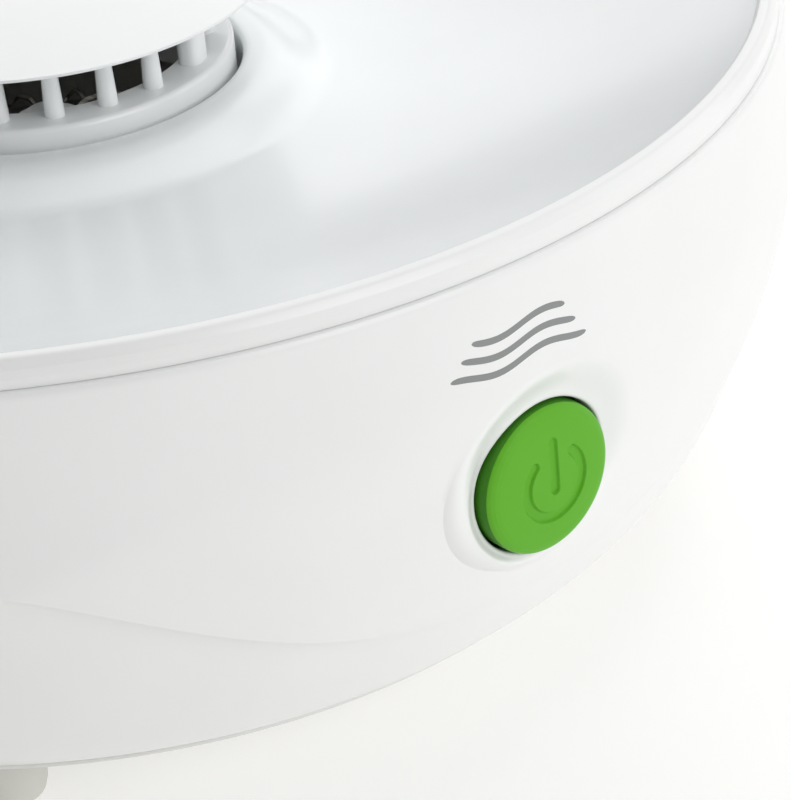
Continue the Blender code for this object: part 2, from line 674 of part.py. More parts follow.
wire("motor_wire", smooth_route([(-81.0, 10.0, 22.5), (-73.0, 13.0, 23.4), (-64.0, 14.0, 24.0),
                                 (-50.0, 17.0, 26.5), (-34.0, 27.0, 30.6), (-19.2, 33.0, 30.6)], 3), 0.9, m_wire)
wire("heater_wire", smooth_route([(-81.0, -10.0, 22.5), (-77.0, -9.0, 30.0), (-73.0, 0.0, 52.0),
                                  (-64.0, 9.0, 76.0), (-55.0, 12.0, 85.4), (-48.0, 12.0, 86.0),
                                  (-36.5, 12.0, 86.0)], 3), 0.9, m_wire)
wire("switch_wire_a", smooth_route([(-99.0, -10.0, 22.5), (-103.0, -17.0, 21.5), (-90.0, -40.0, 18.0),
                                    (-82.0, -64.0, 17.5), (-62.0, -92.0, 17.5), (-30.0, -118.0, 30.0), (-18.0, -131.0, 56.0),
                                    (-10.6, -134.0, 66.0)], 3), 0.9, m_wire)
wire("switch_wire_b", smooth_route([(-99.0, 10.0, 22.5), (-107.0, 4.0, 21.0), (-111.0, -16.0, 21.0),
                                    (-114.5, -42.0, 21.0), (-102.0, -68.0, 22.0), (-66.0, -99.0, 22.0), (-31.0, -122.0, 36.0),
                                    (-19.0, -133.0, 64.0), (-10.6, -134.0, 71.0)], 3), 0.9, m_wire)
wire("thermostat_wire", smooth_route([(8.5, 2.0, 94.4), (13.0, 3.0, 95.4), (21.0, 3.2, 94.0),
                                      (25.0, 3.2, 90.6), (23.0, 3.2, 89.0)], 3), 0.6, m_wire)

# ---------------------------------------------------------------- switch, spring and push button
switch_body = block("switch_body", (-10.0, -142.0, BUTTON_Z - 7.0), (10.0, -126.0, BUTTON_Z + 7.0), m_black, bevel=0.6)
cut(switch_body, bodies_of("plunger_bore", lambda bm: add_cylinder(
    bm, 2.9, -145.0, -134.0, y=BUTTON_Z, sides=16, axis="Y")))


def build_bracket_web(bm):
    add_box(bm, (-11.0, -125.6, 18.4), (11.0, -122.8, 77.0))


def build_bracket_rest(bm):
    add_box(bm, (-10.6, -140.0, BUTTON_Z - 9.8), (10.6, -125.0, BUTTON_Z - 7.4))
    add_box(bm, (-17.5, -125.6, 18.4), (17.5, -109.0, 20.8))


switch_bracket = bodies_of("switch_bracket", build_bracket_web, m_duct, round_piece=False)
join(switch_bracket, bodies_of("bracket_rest", build_bracket_rest, round_piece=False))
cut(switch_bracket, bodies_of("bracket_holes", lambda bm: [add_cylinder(
    bm, 1.65, 16.0, 24.0, x, y, sides=8) for x, y in bracket_feet]))
for side, (x, y) in zip(("left", "right"), bracket_feet):
    screw(f"switch_screw_{side}", x, y, 20.8 + GAP, 6.0, m_steel, head_r=2.7)

button_at = (0, BUTTON_FACE_Y, BUTTON_Z)
facing_front = (90, 0, 0)
turned("button_cap", [
    (0, 0.0), (8.0, -0.05), (14.0, -0.25), (15.3, -0.6), (BUTTON_R, -1.3),
    (BUTTON_R, -15.0), (17.6, -15.0), (17.6, -16.6), (13.6, -16.6), (13.6, -2.6),
    (3.0, -2.6), (3.0, -17.4), (0, -17.4)], 28, m_button, at=button_at, turn=facing_front)
turned("switch_plunger", [(0, -17.7), (2.0, -17.7), (2.4, -18.1), (2.4, -26.0), (0, -26.0)], 14, m_nylon,
       at=button_at, turn=facing_front)
spring = []
spring_turns, per_turn = 5, 8
for i in range(spring_turns * per_turn + 1):
    u = i / (spring_turns * per_turn)
    a = 2 * math.pi * i / per_turn
    spring.append((5.0 * math.cos(a), BUTTON_FACE_Y + 3.4 + 17.2 * u, BUTTON_Z + 5.0 * math.sin(a)))
wire("button_spring", spring, 0.45, m_steel)

# ---------------------------------------------------------------- cord gland at the rear
turned("cord_gland", [
    (3.6, -10.6), (3.6, 0.8), (4.4, 1.8), (8.4, 1.8), (9.4, 0.9), (9.4, 0.0), (6.5, 0.0),
    (6.5, -9.3), (8.6, -9.3), (8.6, -10.6)], 16, m_cover, closed=True, at=(0, 163.2, GLAND_Z),
    turn=(-90, 0, 0))
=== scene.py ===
import json
import math

import bmesh
import bpy
import numpy as np
from mathutils import Matrix, Vector


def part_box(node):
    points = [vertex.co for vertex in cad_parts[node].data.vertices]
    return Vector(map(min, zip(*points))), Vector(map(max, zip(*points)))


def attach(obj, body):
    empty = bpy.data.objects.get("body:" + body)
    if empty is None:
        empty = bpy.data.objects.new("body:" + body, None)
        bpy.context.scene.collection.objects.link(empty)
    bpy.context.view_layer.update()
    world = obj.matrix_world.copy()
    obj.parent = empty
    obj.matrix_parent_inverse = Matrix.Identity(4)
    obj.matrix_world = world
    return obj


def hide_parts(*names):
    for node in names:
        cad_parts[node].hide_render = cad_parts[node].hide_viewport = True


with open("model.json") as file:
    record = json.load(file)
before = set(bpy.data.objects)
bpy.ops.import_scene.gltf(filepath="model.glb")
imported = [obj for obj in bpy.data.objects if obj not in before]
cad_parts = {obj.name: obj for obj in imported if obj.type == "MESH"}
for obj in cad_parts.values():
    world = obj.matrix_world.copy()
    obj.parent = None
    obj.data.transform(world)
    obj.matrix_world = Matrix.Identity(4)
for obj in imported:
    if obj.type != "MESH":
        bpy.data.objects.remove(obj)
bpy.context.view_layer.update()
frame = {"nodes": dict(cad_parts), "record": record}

MM = 0.001
PI = math.pi
SLOT_OF = {s["node"]: s["material_slot"] for s in frame["record"]["subparts"]}


# ---------------------------------------------------------------- materials

class Nodes:
    """Short names for building one material's node tree."""

    def __init__(self, name):
        self.material = bpy.data.materials.new(name)
        self.material.use_nodes = True
        self.tree = self.material.node_tree
        self.shader = self.tree.nodes["Principled BSDF"]
        self.place = self.add("ShaderNodeTexCoord")

    def add(self, kind, **values):
        node = self.tree.nodes.new(kind)
        for key, value in values.items():
            setattr(node, key, value)
        return node

    def link(self, a, b):
        self.tree.links.new(a, b)

    def noise(self, scale, detail=3.0, rough=0.5, stretch=None):
        node = self.add("ShaderNodeTexNoise")
        node.inputs["Scale"].default_value = scale
        node.inputs["Detail"].default_value = detail
        node.inputs["Roughness"].default_value = rough
        source = self.place.outputs["Object"]
        if stretch:
            mapping = self.add("ShaderNodeMapping")
            mapping.inputs["Scale"].default_value = stretch
            self.link(source, mapping.inputs["Vector"])
            source = mapping.outputs["Vector"]
        self.link(source, node.inputs["Vector"])
        return node

    def ramp(self, source, low, high, a=0.35, b=0.65):
        node = self.add("ShaderNodeValToRGB")
        node.color_ramp.elements[0].position = a
        node.color_ramp.elements[1].position = b
        node.color_ramp.elements[0].color = (*low, 1)
        node.color_ramp.elements[1].color = (*high, 1)
        self.link(source, node.inputs["Fac"])
        return node

    def span(self, source, low, high, a=0.3, b=0.7):
        node = self.add("ShaderNodeMapRange")
        for key, value in (("From Min", a), ("From Max", b), ("To Min", low), ("To Max", high)):
            node.inputs[key].default_value = value
        self.link(source, node.inputs["Value"])
        return node

    def bump(self, source, strength, distance, before=None):
        node = self.add("ShaderNodeBump")
        node.inputs["Strength"].default_value = strength
        node.inputs["Distance"].default_value = distance
        self.link(source, node.inputs["Height"])
        if before:
            self.link(before.outputs["Normal"], node.inputs["Normal"])
        self.link(node.outputs["Normal"], self.shader.inputs["Normal"])
        return node

    def set(self, **values):
        for key, value in values.items():
            self.shader.inputs[key.replace("_", " ")].default_value = value


def moulded(name, colour, rough, grain=0.00045, depth=0.000006, spread=0.012, coat=0.0, ior=1.5, gloss=0.5):
    """Injection-moulded plastic: faint tone drift, fine spark-eroded grain and slow sink waviness."""
    n = Nodes(name)
    drift = n.noise(22.0, 4.0)
    low = tuple(c * (1 - spread) for c in colour)
    high = tuple(min(1.0, c * (1 + spread)) for c in colour)
    n.link(n.ramp(drift.outputs["Fac"], low, high).outputs["Color"], n.shader.inputs["Base Color"])
    haze = n.noise(130.0, 3.0)
    n.link(n.span(haze.outputs["Fac"], rough * 0.96, rough * 1.05).outputs["Result"], n.shader.inputs["Roughness"])
    slow = n.noise(28.0, 1.0)
    first = n.bump(slow.outputs["Fac"], 0.2, 0.00003)
    fine = n.noise(1.0 / grain, 2.0)
    n.bump(fine.outputs["Fac"], 0.35, depth, first)
    n.set(IOR=ior, Specular_IOR_Level=gloss, Coat_Weight=coat, Coat_Roughness=0.08)
    return n.material


def metal(name, colour, rough, stretch=(1, 1, 12), spread=0.1, scale=500.0, depth=0.000012):
    n = Nodes(name)
    brushed = n.noise(scale, 4.0, stretch=stretch)
    low = tuple(c * (1 - spread) for c in colour)
    n.link(n.ramp(brushed.outputs["Fac"], low, colour).outputs["Color"], n.shader.inputs["Base Color"])
    worn = n.noise(90.0, 3.0)
    n.link(n.span(worn.outputs["Fac"], rough * 0.75, rough * 1.3).outputs["Result"], n.shader.inputs["Roughness"])
    n.bump(brushed.outputs["Fac"], 0.4, depth)
    n.set(Metallic=1.0)
    return n.material


def laminated(name):
    """Stacked electrical steel: thin sheets 0.5 mm apart, oiled."""
    n = Nodes(name)
    wave = n.add("ShaderNodeTexWave", wave_type="BANDS", bands_direction="Z")
    wave.inputs["Scale"].default_value = 2000.0 / (2 * PI)
    wave.inputs["Distortion"].default_value = 0.4
    n.link(n.place.outputs["Object"], wave.inputs["Vector"])
    n.link(n.ramp(wave.outputs["Fac"], (0.13, 0.13, 0.14), (0.34, 0.34, 0.36), 0.2, 0.6).outputs["Color"], n.shader.inputs["Base Color"])
    patch = n.noise(160.0)
    n.link(n.span(patch.outputs["Fac"], 0.32, 0.55).outputs["Result"], n.shader.inputs["Roughness"])
    n.bump(wave.outputs["Fac"], 0.6, 0.00005)
    n.set(Metallic=1.0)
    return n.material


def wound(name):
    """Enamelled copper turns laid side by side."""
    n = Nodes(name)
    wave = n.add("ShaderNodeTexWave", wave_type="BANDS", bands_direction="X")
    wave.inputs["Scale"].default_value = 3000.0 / (2 * PI)
    wave.inputs["Distortion"].default_value = 0.8
    n.link(n.place.outputs["Object"], wave.inputs["Vector"])
    n.link(n.ramp(wave.outputs["Fac"], (0.25, 0.07, 0.025), (0.72, 0.28, 0.12), 0.15, 0.7).outputs["Color"], n.shader.inputs["Base Color"])
    tone = n.noise(240.0)
    n.link(n.span(tone.outputs["Fac"], 0.25, 0.4).outputs["Result"], n.shader.inputs["Roughness"])
    n.bump(wave.outputs["Fac"], 0.8, 0.00012)
    n.set(Metallic=0.8, Coat_Weight=0.4)
    return n.material


def flaked(name):
    n = Nodes(name)
    cell = n.add("ShaderNodeTexVoronoi")
    cell.inputs["Scale"].default_value = 420.0
    n.link(n.place.outputs["Object"], cell.inputs["Vector"])
    n.link(n.ramp(cell.outputs["Distance"], (0.62, 0.52, 0.36), (0.4, 0.31, 0.19), 0.1, 0.8).outputs["Color"], n.shader.inputs["Base Color"])
    patch = n.noise(300.0)
    n.link(n.span(patch.outputs["Fac"], 0.35, 0.6).outputs["Result"], n.shader.inputs["Roughness"])
    n.bump(cell.outputs["Distance"], 0.3, 0.00005)
    return n.material


def braided(name):
    n = Nodes(name)
    wave = n.add("ShaderNodeTexWave", wave_type="BANDS", bands_direction="DIAGONAL")
    wave.inputs["Scale"].default_value = 1400.0 / (2 * PI)
    wave.inputs["Distortion"].default_value = 3.0
    n.link(n.place.outputs["Object"], wave.inputs["Vector"])
    n.link(n.ramp(wave.outputs["Fac"], (0.5, 0.47, 0.4), (0.78, 0.75, 0.68), 0.2, 0.7).outputs["Color"], n.shader.inputs["Base Color"])
    patch = n.noise(300.0)
    n.link(n.span(patch.outputs["Fac"], 0.6, 0.8).outputs["Result"], n.shader.inputs["Roughness"])
    n.bump(wave.outputs["Fac"], 0.6, 0.0001)
    return n.material


MATERIAL = {
    "bowl_white": moulded("bowl_white", (0.862, 0.872, 0.864), 0.34, coat=0.12),
    "dish_white": moulded("dish_white", (0.875, 0.9, 0.905), 0.24, grain=0.0012, depth=0.0000015, coat=0.08),
    "hub_white": moulded("hub_white", (0.86, 0.875, 0.876), 0.26, coat=0.2),
    "cover_grey_white": moulded("cover_grey_white", (0.79, 0.795, 0.775), 0.48, grain=0.0006, depth=0.00001),
    "foot_grey": moulded("foot_grey", (0.66, 0.66, 0.615), 0.62, grain=0.0005, depth=0.000012, spread=0.04),
    "button_green": moulded("button_green", (0.118, 0.43, 0.022), 0.5, grain=0.0004, depth=0.000008, spread=0.03, gloss=0.22),
    # Darker green for the button's sides: painted shade, standing in for the shadow on the same green plastic as the
    # face.
    "button_side_painted_shade": moulded("button_side_painted_shade", (0.045, 0.2, 0.012), 0.55, grain=0.0004, depth=0.000008, spread=0.05, gloss=0.15),
    "black_plastic": moulded("black_plastic", (0.022, 0.022, 0.024), 0.45, spread=0.2),
    "duct_grey": moulded("duct_grey", (0.36, 0.36, 0.355), 0.5, grain=0.0006, depth=0.00001, spread=0.04),
    "zinc_steel": metal("zinc_steel", (0.62, 0.63, 0.64), 0.32),
    "silicon_steel": laminated("silicon_steel"),
    "brass": metal("brass", (0.72, 0.52, 0.22), 0.38, stretch=(1, 1, 1), scale=900.0),
    "copper_wire": wound("copper_wire"),
    "mica_board": flaked("mica_board"),
    "heater_wire_alloy": metal("heater_wire_alloy", (0.42, 0.39, 0.36), 0.45, stretch=(1, 1, 1), spread=0.3),
    "natural_nylon": moulded("natural_nylon", (0.78, 0.75, 0.66), 0.44, spread=0.03),
    "wire_sleeve": braided("wire_sleeve"),
    "print_grey": moulded("print_grey", (0.25, 0.262, 0.258), 0.5, spread=0.03),
}

for node_name, node_object in frame["nodes"].items():
    node_object.data.materials.clear()
    node_object.data.materials.append(MATERIAL[SLOT_OF[node_name]])


# ---------------------------------------------------------------- mesh helpers

def finish_piece(name, verts, faces, body, slot, nodes, material=None, sharp=34.0):
    """One closed mesh from points in millimetres, shaded smooth except across corners above `sharp` degrees."""
    mesh = bpy.data.meshes.new(name)
    mesh.from_pydata([tuple(v) for v in np.asarray(verts, float) * MM], [], faces)
    bm = bmesh.new()
    bm.from_mesh(mesh)
    bmesh.ops.remove_doubles(bm, verts=bm.verts, dist=1e-6)
    bmesh.ops.dissolve_degenerate(bm, edges=bm.edges, dist=1e-7)
    bmesh.ops.recalc_face_normals(bm, faces=bm.faces)
    limit = math.radians(sharp)
    for f in bm.faces:
        f.smooth = True
    for e in bm.edges:
        e.smooth = len(e.link_faces) == 2 and e.calc_face_angle(0.0) < limit
    bm.to_mesh(mesh)
    bm.free()
    piece = bpy.data.objects.new(name, mesh)
    bpy.context.scene.collection.objects.link(piece)
    mesh.materials.append(material or MATERIAL[slot])
    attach(piece, body)
    if nodes:
        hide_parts(*nodes)
    return piece


def fillet(points, closed=True, steps=5):
    """A polyline of (r, z, radius) with its corners rounded."""
    out = []
    count = len(points)
    for i, (x, y, radius) in enumerate(points):
        if radius <= 0 or (not closed and i in (0, count - 1)):
            out.append((x, y))
            continue
        p = np.array((x, y), float)
        u = np.array(points[i - 1][:2], float) - p
        v = np.array(points[(i + 1) % count][:2], float) - p
        lu, lv = np.linalg.norm(u), np.linalg.norm(v)
        u, v = u / lu, v / lv
        angle = math.acos(max(-1, min(1, float(u @ v))))
        if angle > PI - 0.02:
            out.append((x, y))
            continue
        reach = min(radius / math.tan(angle / 2), 0.49 * lu, 0.49 * lv)
        r = reach * math.tan(angle / 2)
        middle = (u + v) / np.linalg.norm(u + v)
        centre = p + middle * (r / math.sin(angle / 2))
        a0 = math.atan2(*(p + u * reach - centre)[::-1])
        a1 = math.atan2(*(p + v * reach - centre)[::-1])
        turn = (a1 - a0 + PI) % (2 * PI) - PI
        for k in range(steps + 1):
            a = a0 + turn * k / steps
            out.append((centre[0] + r * math.cos(a), centre[1] + r * math.sin(a)))
    return out


def lathe(profile, count=360, closed=True, axis="Z", centre=(0, 0, 0)):
    """Points and faces of a revolved profile. An open profile starts and ends on the axis."""
    verts, faces, rings = [], [], []
    for r, h in profile:
        if r < 1e-6:
            rings.append([len(verts)])
            verts.append((0, 0, h))
        else:
            base = len(verts)
            for k in range(count):
                a = 2 * PI * k / count
                verts.append((r * math.cos(a), r * math.sin(a), h))
            rings.append(list(range(base, base + count)))
    pairs = list(zip(rings, rings[1:] + (rings[:1] if closed else [])))
    for a, b in pairs[: len(rings) if closed else len(rings) - 1]:
        if len(a) == 1 and len(b) == 1:
            continue
        for k in range(count):
            m = (k + 1) % count
            if len(a) == 1:
                faces.append((a[0], b[k], b[m]))
            elif len(b) == 1:
                faces.append((a[k], b[0], a[m]))
            else:
                faces.append((a[k], b[k], b[m], a[m]))
    verts = np.array(verts, float)
    if axis == "Y":
        verts = verts[:, [0, 2, 1]]
    return verts + np.array(centre, float), faces


def join(*parts):
    verts, faces, base = [], [], 0
    for v, f in parts:
        verts.append(np.asarray(v, float))
        faces += [tuple(i + base for i in face) for face in f]
        base += len(v)
    return np.vstack(verts), faces


def polar(r, azimuth):
    a = math.radians(azimuth)
    return r * math.sin(a), -r * math.cos(a)


def smooth(t):
    t = np.clip(t, 0, 1)
    return t * t * (3 - 2 * t)


# ---------------------------------------------------------------- outer shell

BUTTON_Z = 66.75
GLAND_Z = 60.0
WALL = 2.4
CREASE_HEIGHT = 2.5
COLUMNS = 720
STEP = 360.0 / COLUMNS


def wall_radius(z):
    t = np.clip((95.0 - np.asarray(z, float)) / 79.0, 0, None)
    return 165.5 - 20.0 * t ** 1.5 - 10.4 * t ** 9


def folded(azimuth):
    return np.abs((np.asarray(azimuth, float) + 45.0) % 90.0 - 45.0)


def crease_level(azimuth):
    """The wave line that runs round the bowl: low between the feet and high above them."""
    return 59.5 - 18.5 * np.cos(PI * (folded(azimuth) / 45.0) ** 1.35)


def outer_radius(azimuth, z):
    z = np.asarray(z, float)
    m = folded(azimuth)
    d = z - crease_level(azimuth)
    flank = smooth((m - 5.0) / 14.0)
    height = CREASE_HEIGHT * (0.5 + 0.5 * flank)
    width = 2.2 - 2.0 * flank
    away = np.sqrt(d * d + width * width) - width
    ridge = height * np.where(d >= 0, np.exp(-away / 28.0), np.exp(-away / 2.2))
    return np.minimum(wall_radius(z) + ridge * smooth((102.0 - z) / 24.0) * smooth((z - 16.0) / 10.0), 165.47)


def wall_y(x, z, side, inset=0.0, plain=False):
    """Distance from the XZ plane to the wall, for points given by x and z. side is -1 at the front and 1 at the back."""
    azimuth = np.zeros_like(x)
    for _ in range(4):
        radius = (wall_radius(z) if plain else outer_radius(azimuth, z)) - inset
        azimuth = np.degrees(np.arcsin(np.clip(x / radius, -1, 1)))
    return side * np.sqrt(np.maximum(radius ** 2 - x ** 2, 0))


def shell_rows(azimuth):
    """Heights of the wall's rows of points at each azimuth, with one row on the wave line."""
    level = crease_level(azimuth)[None, :]
    u = np.linspace(0, 1, 27)[:, None]
    below = 16.0 + (level - 16.0) * (1 - (1 - u) ** 1.7)
    u = np.linspace(0, 1, 49)[1:, None]
    above = level + (115.4 - level) * u ** 1.45
    return np.vstack([below, above])


def collar_front(x, z, theta, t):
    """The raised surround of the button: crisp at the left and lower left, where it stands out of the wall, and melting into it elsewhere."""
    y = wall_y(x, z, -1)
    left = np.exp(-((((np.degrees(theta) - 200.0 + 180.0) % 360.0) - 180.0) / 52.0) ** 4)
    above = np.exp(-((((np.degrees(theta) - 75.0 + 180.0) % 360.0) - 180.0) / 68.0) ** 4)
    seat = -159.3 - 1.8 * above
    crest = 0.62
    rise = 1 - (1 - np.clip(t / crest, 0, 1)) ** 2.8
    fall = 0.5 * (1 + np.cos(PI * np.clip((t - crest) / (1 - crest), 0, 1)))
    return y + (seat - y) * smooth(t) - 1.5 * left * rise * fall, seat, left


def collar_edge(theta):
    """Distance from the button's axis to the edge of its surround."""
    left = np.exp(-((((np.degrees(theta) - 196.0 + 180.0) % 360.0) - 180.0) / 58.0) ** 4)
    ox, oz = 2.4, BUTTON_Z - 70.4
    c, s = np.cos(theta), np.sin(theta)
    dot = ox * c + oz * s
    circle = -dot + np.sqrt(dot * dot - (ox * ox + oz * oz) + 23.1 ** 2)
    return left * circle + (1 - left) * (24.4 + 2.2 * s)


def build_shell():
    azimuth = np.arange(COLUMNS) * STEP - 180.0
    rows = shell_rows(azimuth)
    outer = [(outer_radius(azimuth, z), z) for z in rows]
    lip = [(165.46, 116.1), (165.28, 116.75), (164.92, 117.2), (164.4, 117.38), (163.5, 117.38), (163.0, 117.1)]
    lip = [(np.full(COLUMNS, r), np.full(COLUMNS, z)) for r, z in lip]
    inner = [(wall_radius(z) - WALL, np.minimum(z + 0.4, 115.0)) for z in rows[::-1]]
    grid = outer + lip + inner
    count = len(grid)
    sin, cos = np.sin(np.radians(azimuth)), np.cos(np.radians(azimuth))
    verts = [np.stack([r * sin, -r * cos, z], 1) for r, z in grid]
    verts = list(np.vstack(verts))
    index = lambda j, i: (j % count) * COLUMNS + i % COLUMNS
    faces, holes = [], []
    wall_rows = len(rows)
    last = count - 1
    centre_front, centre_back = COLUMNS // 2, 0
    for centre, low_z, high_z in ((centre_front, 37.5, 98.5), (centre_back, 37.5, 84.0)):
        z = rows[:, centre]
        j0 = int(np.argmin(np.abs(z - low_z)))
        j1 = int(np.argmin(np.abs(z - high_z)))
        holes.append((centre - 28, centre + 28, j0, j1))
    skipped = set()
    for i0, i1, j0, j1 in holes:
        for i in range(i0, i1):
            for j in range(j0, j1):
                skipped.add((j, i % COLUMNS))
                skipped.add((last - 1 - j, i % COLUMNS))
    for j in range(count):
        for i in range(COLUMNS):
            if (j, i) not in skipped:
                faces.append((index(j, i), index(j, i + 1), index(j + 1, i + 1), index(j + 1, i)))

    def loop(hole, flip):
        i0, i1, j0, j1 = hole
        row = (lambda j: last - j) if flip else (lambda j: j)
        path = [(j0, i) for i in range(i0, i1)] + [(j, i1) for j in range(j0, j1)]
        path += [(j1, i) for i in range(i1, i0, -1)] + [(j, i0) for j in range(j1, j0, -1)]
        return [index(row(j), i) for j, i in path]

    def ring(points):
        base = len(verts)
        verts.extend(points)
        return list(range(base, base + len(points)))

    def bridge(a, b):
        for k in range(len(a)):
            m = (k + 1) % len(a)
            faces.append((a[k], a[m], b[m], b[k]))

    # button opening
    hole = holes[0]
    outline = loop(hole, False)
    edge = np.array([verts[k] for k in outline])
    theta = np.arctan2(edge[:, 2] - BUTTON_Z, edge[:, 0])
    c, s = np.cos(theta), np.sin(theta)
    start = np.hypot(edge[:, 0], edge[:, 2] - BUTTON_Z)
    margin = collar_edge(theta)
    previous = outline
    for k in range(1, 13):
        reach = start + (margin - start) * k / 12.0
        x, z = reach * c, BUTTON_Z + reach * s
        current = ring(np.stack([x, wall_y(x, z, -1), z], 1))
        bridge(previous, current)
        previous = current
    steps = 26
    for k in range(1, steps + 1):
        t = (k / steps) ** 1.15
        reach = margin + (17.15 - margin) * t
        x, z = reach * c, BUTTON_Z + reach * s
        y, seat, _ = collar_front(x, z, theta, np.full_like(theta, t))
        current = ring(np.stack([x, y, z], 1))
        bridge(previous, current)
        previous = current
    for reach, back in ((16.93, 0.05), (16.72, 0.16), (16.57, 0.34), (16.5, 0.6), (16.5, 1.0), (16.5, 1.5)):
        current = ring(np.stack([reach * c, seat + back, BUTTON_Z + reach * s], 1))
        bridge(previous, current)
        previous = current
    current = ring(np.stack([16.5 * c, np.full_like(c, -157.0), BUTTON_Z + 16.5 * s], 1))
    bridge(previous, current)
    previous = current
    inside = loop(hole, True)
    edge = np.array([verts[k] for k in inside])
    start = np.hypot(edge[:, 0], edge[:, 2] - BUTTON_Z)
    theta_in = np.arctan2(edge[:, 2] - BUTTON_Z, edge[:, 0])
    ci, si = np.cos(theta_in), np.sin(theta_in)
    for k in range(1, 9):
        t = k / 8.0
        reach = 17.6 + (start - 17.6) * t
        x, z = reach * ci, BUTTON_Z + reach * si
        wall = -np.sqrt(np.maximum((wall_radius(z) - WALL) ** 2 - x ** 2, 0))
        y = -157.0 + (wall + 157.0) * smooth(t)
        current = inside if k == 8 else ring(np.stack([x, y, z], 1))
        bridge(previous, current)
        previous = current

    # flat pad and bore for the cord gland
    hole = holes[1]
    outline = loop(hole, False)
    edge = np.array([verts[k] for k in outline])
    theta = np.arctan2(edge[:, 2] - GLAND_Z, edge[:, 0])
    c, s = np.cos(theta), np.sin(theta)
    start = np.hypot(edge[:, 0], edge[:, 2] - GLAND_Z)
    previous = outline
    for k in range(1, 9):
        reach = start + (17.0 - start) * k / 8.0
        x, z = reach * c, GLAND_Z + reach * s
        current = ring(np.stack([x, wall_y(x, z, 1), z], 1))
        bridge(previous, current)
        previous = current
    for k in range(1, 13):
        t = k / 12.0
        reach = 17.0 + (11.6 - 17.0) * t
        x, z = reach * c, GLAND_Z + reach * s
        wall = wall_y(x, z, 1)
        current = ring(np.stack([x, wall + (162.9 - wall) * smooth(t), z], 1))
        bridge(previous, current)
        previous = current
    for reach, y in ((10.0, 162.9), (7.0, 162.9), (5.2, 162.9), (5.0, 162.7), (5.0, 160.0), (5.0, 156.8), (5.2, 156.6)):
        current = ring(np.stack([reach * c, np.full_like(c, y), GLAND_Z + reach * s], 1))
        bridge(previous, current)
        previous = current
    inside = loop(hole, True)
    edge = np.array([verts[k] for k in inside])
    start = np.hypot(edge[:, 0], edge[:, 2] - GLAND_Z)
    theta_in = np.arctan2(edge[:, 2] - GLAND_Z, edge[:, 0])
    ci, si = np.cos(theta_in), np.sin(theta_in)
    for k in range(1, 7):
        t = k / 6.0
        reach = 9.0 + (start - 9.0) * t
        x, z = reach * ci, GLAND_Z + reach * si
        wall = np.sqrt(np.maximum((wall_radius(z) - WALL) ** 2 - x ** 2, 0))
        y = 156.6 + (wall - 156.6) * smooth(t)
        current = inside if k == 6 else ring(np.stack([x, y, z], 1))
        bridge(previous, current)
        previous = current

    used = sorted(set(i for f in faces for i in f))
    renumber = {old: new for new, old in enumerate(used)}
    faces = [tuple(renumber[i] for i in f) for f in faces]
    return finish_piece("bowl_shell", np.array([verts[i] for i in used]), faces, "base", "bowl_white", ["outer_shell"], sharp=28.0)


build_shell()


def build_mark():
    """A neutral printed mark: three short rising-air waves."""
    parts = []
    for row in range(3):
        z0 = 97.9 + 3.6 * row
        half = 16.5 - 2.6 * row
        xs = np.linspace(-half, half, 90)
        wave = 0.95 * np.sin(xs / 33.0 * 2 * PI * 1.5)
        width = 0.72 * np.sqrt(np.clip(1 - (np.abs(xs) / half) ** 14, 0.02, 1))
        verts = []
        for out in (0.015, -0.25):
            for sign in (1, -1):
                z = z0 + wave + sign * width
                x = xs - 7.3
                y = wall_y(x, z, -1)
                scale = 1 + out / 165.0
                verts.append(np.stack([x * scale, y * scale, z], 1))
        n = len(xs)
        v = np.vstack(verts)
        faces = []
        for k in range(n - 1):
            a, b, c, d = k, n + k, 2 * n + k, 3 * n + k
            faces += [(a, a + 1, b + 1, b), (c, d, d + 1, c + 1), (a, c, c + 1, a + 1), (b, b + 1, d + 1, d)]
        faces += [(0, n, 3 * n, 2 * n), (n - 1, 3 * n - 1, 4 * n - 1, 2 * n - 1)]
        parts.append((v, faces))
    verts, faces = join(*parts)
    finish_piece("air_mark", verts, faces, "base", "bowl_white", [], MATERIAL["print_grey"])


build_mark()


# ---------------------------------------------------------------- top dish

def dish_height(r):
    return 103.0 + 17.5 * ((r - 66.0) / (159.6 - 66.0)) ** 2


def mound(r):
    """Top face from the well outwards: a low mound, a valley and the long rise to the rim."""
    if r <= 49.4:
        return 109.2
    if r < 66.0:
        return 103.0 + 6.2 * 0.5 * (1 + math.cos(PI * (r - 49.4) / 16.6))
    return dish_height(r)


def build_dish():
    top = [(45.4, 96.0), (45.4, 107.4), (45.55, 108.2), (46.0, 108.8), (46.7, 109.12), (47.6, 109.2), (49.4, 109.2)]
    top += [(r, mound(r)) for r in np.linspace(50.2, 158.9, 110)]
    rim = fillet([(158.9, dish_height(158.9), 0), (159.75, dish_height(159.75), 0.35), (159.85, 122.6, 0.7), (160.6, 123.1, 0.5),
                  (162.5, 123.1, 1.3), (163.75, 121.2, 1.2), (164.1, 119.4, 1.0), (164.1, 117.46, 0.12), (163.3, 117.43, 0)], closed=False, steps=4)
    under = [(162.6, 117.43), (162.6, 110.0), (160.4, 110.0), (160.4, 117.4), (158.9, dish_height(158.9) - 2.4)]
    under += [(r, mound(r) - 2.4) for r in np.linspace(157.0, 50.2, 60)]
    under += [(48.4, 106.8), (47.8, 106.2), (47.8, 96.0)]
    verts, faces = lathe(top + rim[1:] + under, 480)
    dish = finish_piece("dish_and_rim", verts, faces, "base", "dish_white", ["top_dish"], sharp=30.0)
    dish.data.materials.append(MATERIAL["bowl_white"])
    for p in dish.data.polygons:
        if math.hypot(p.center.x, p.center.y) > 0.1598 and p.center.z > 0.1171:
            p.material_index = 1


build_dish()


# ---------------------------------------------------------------- hub

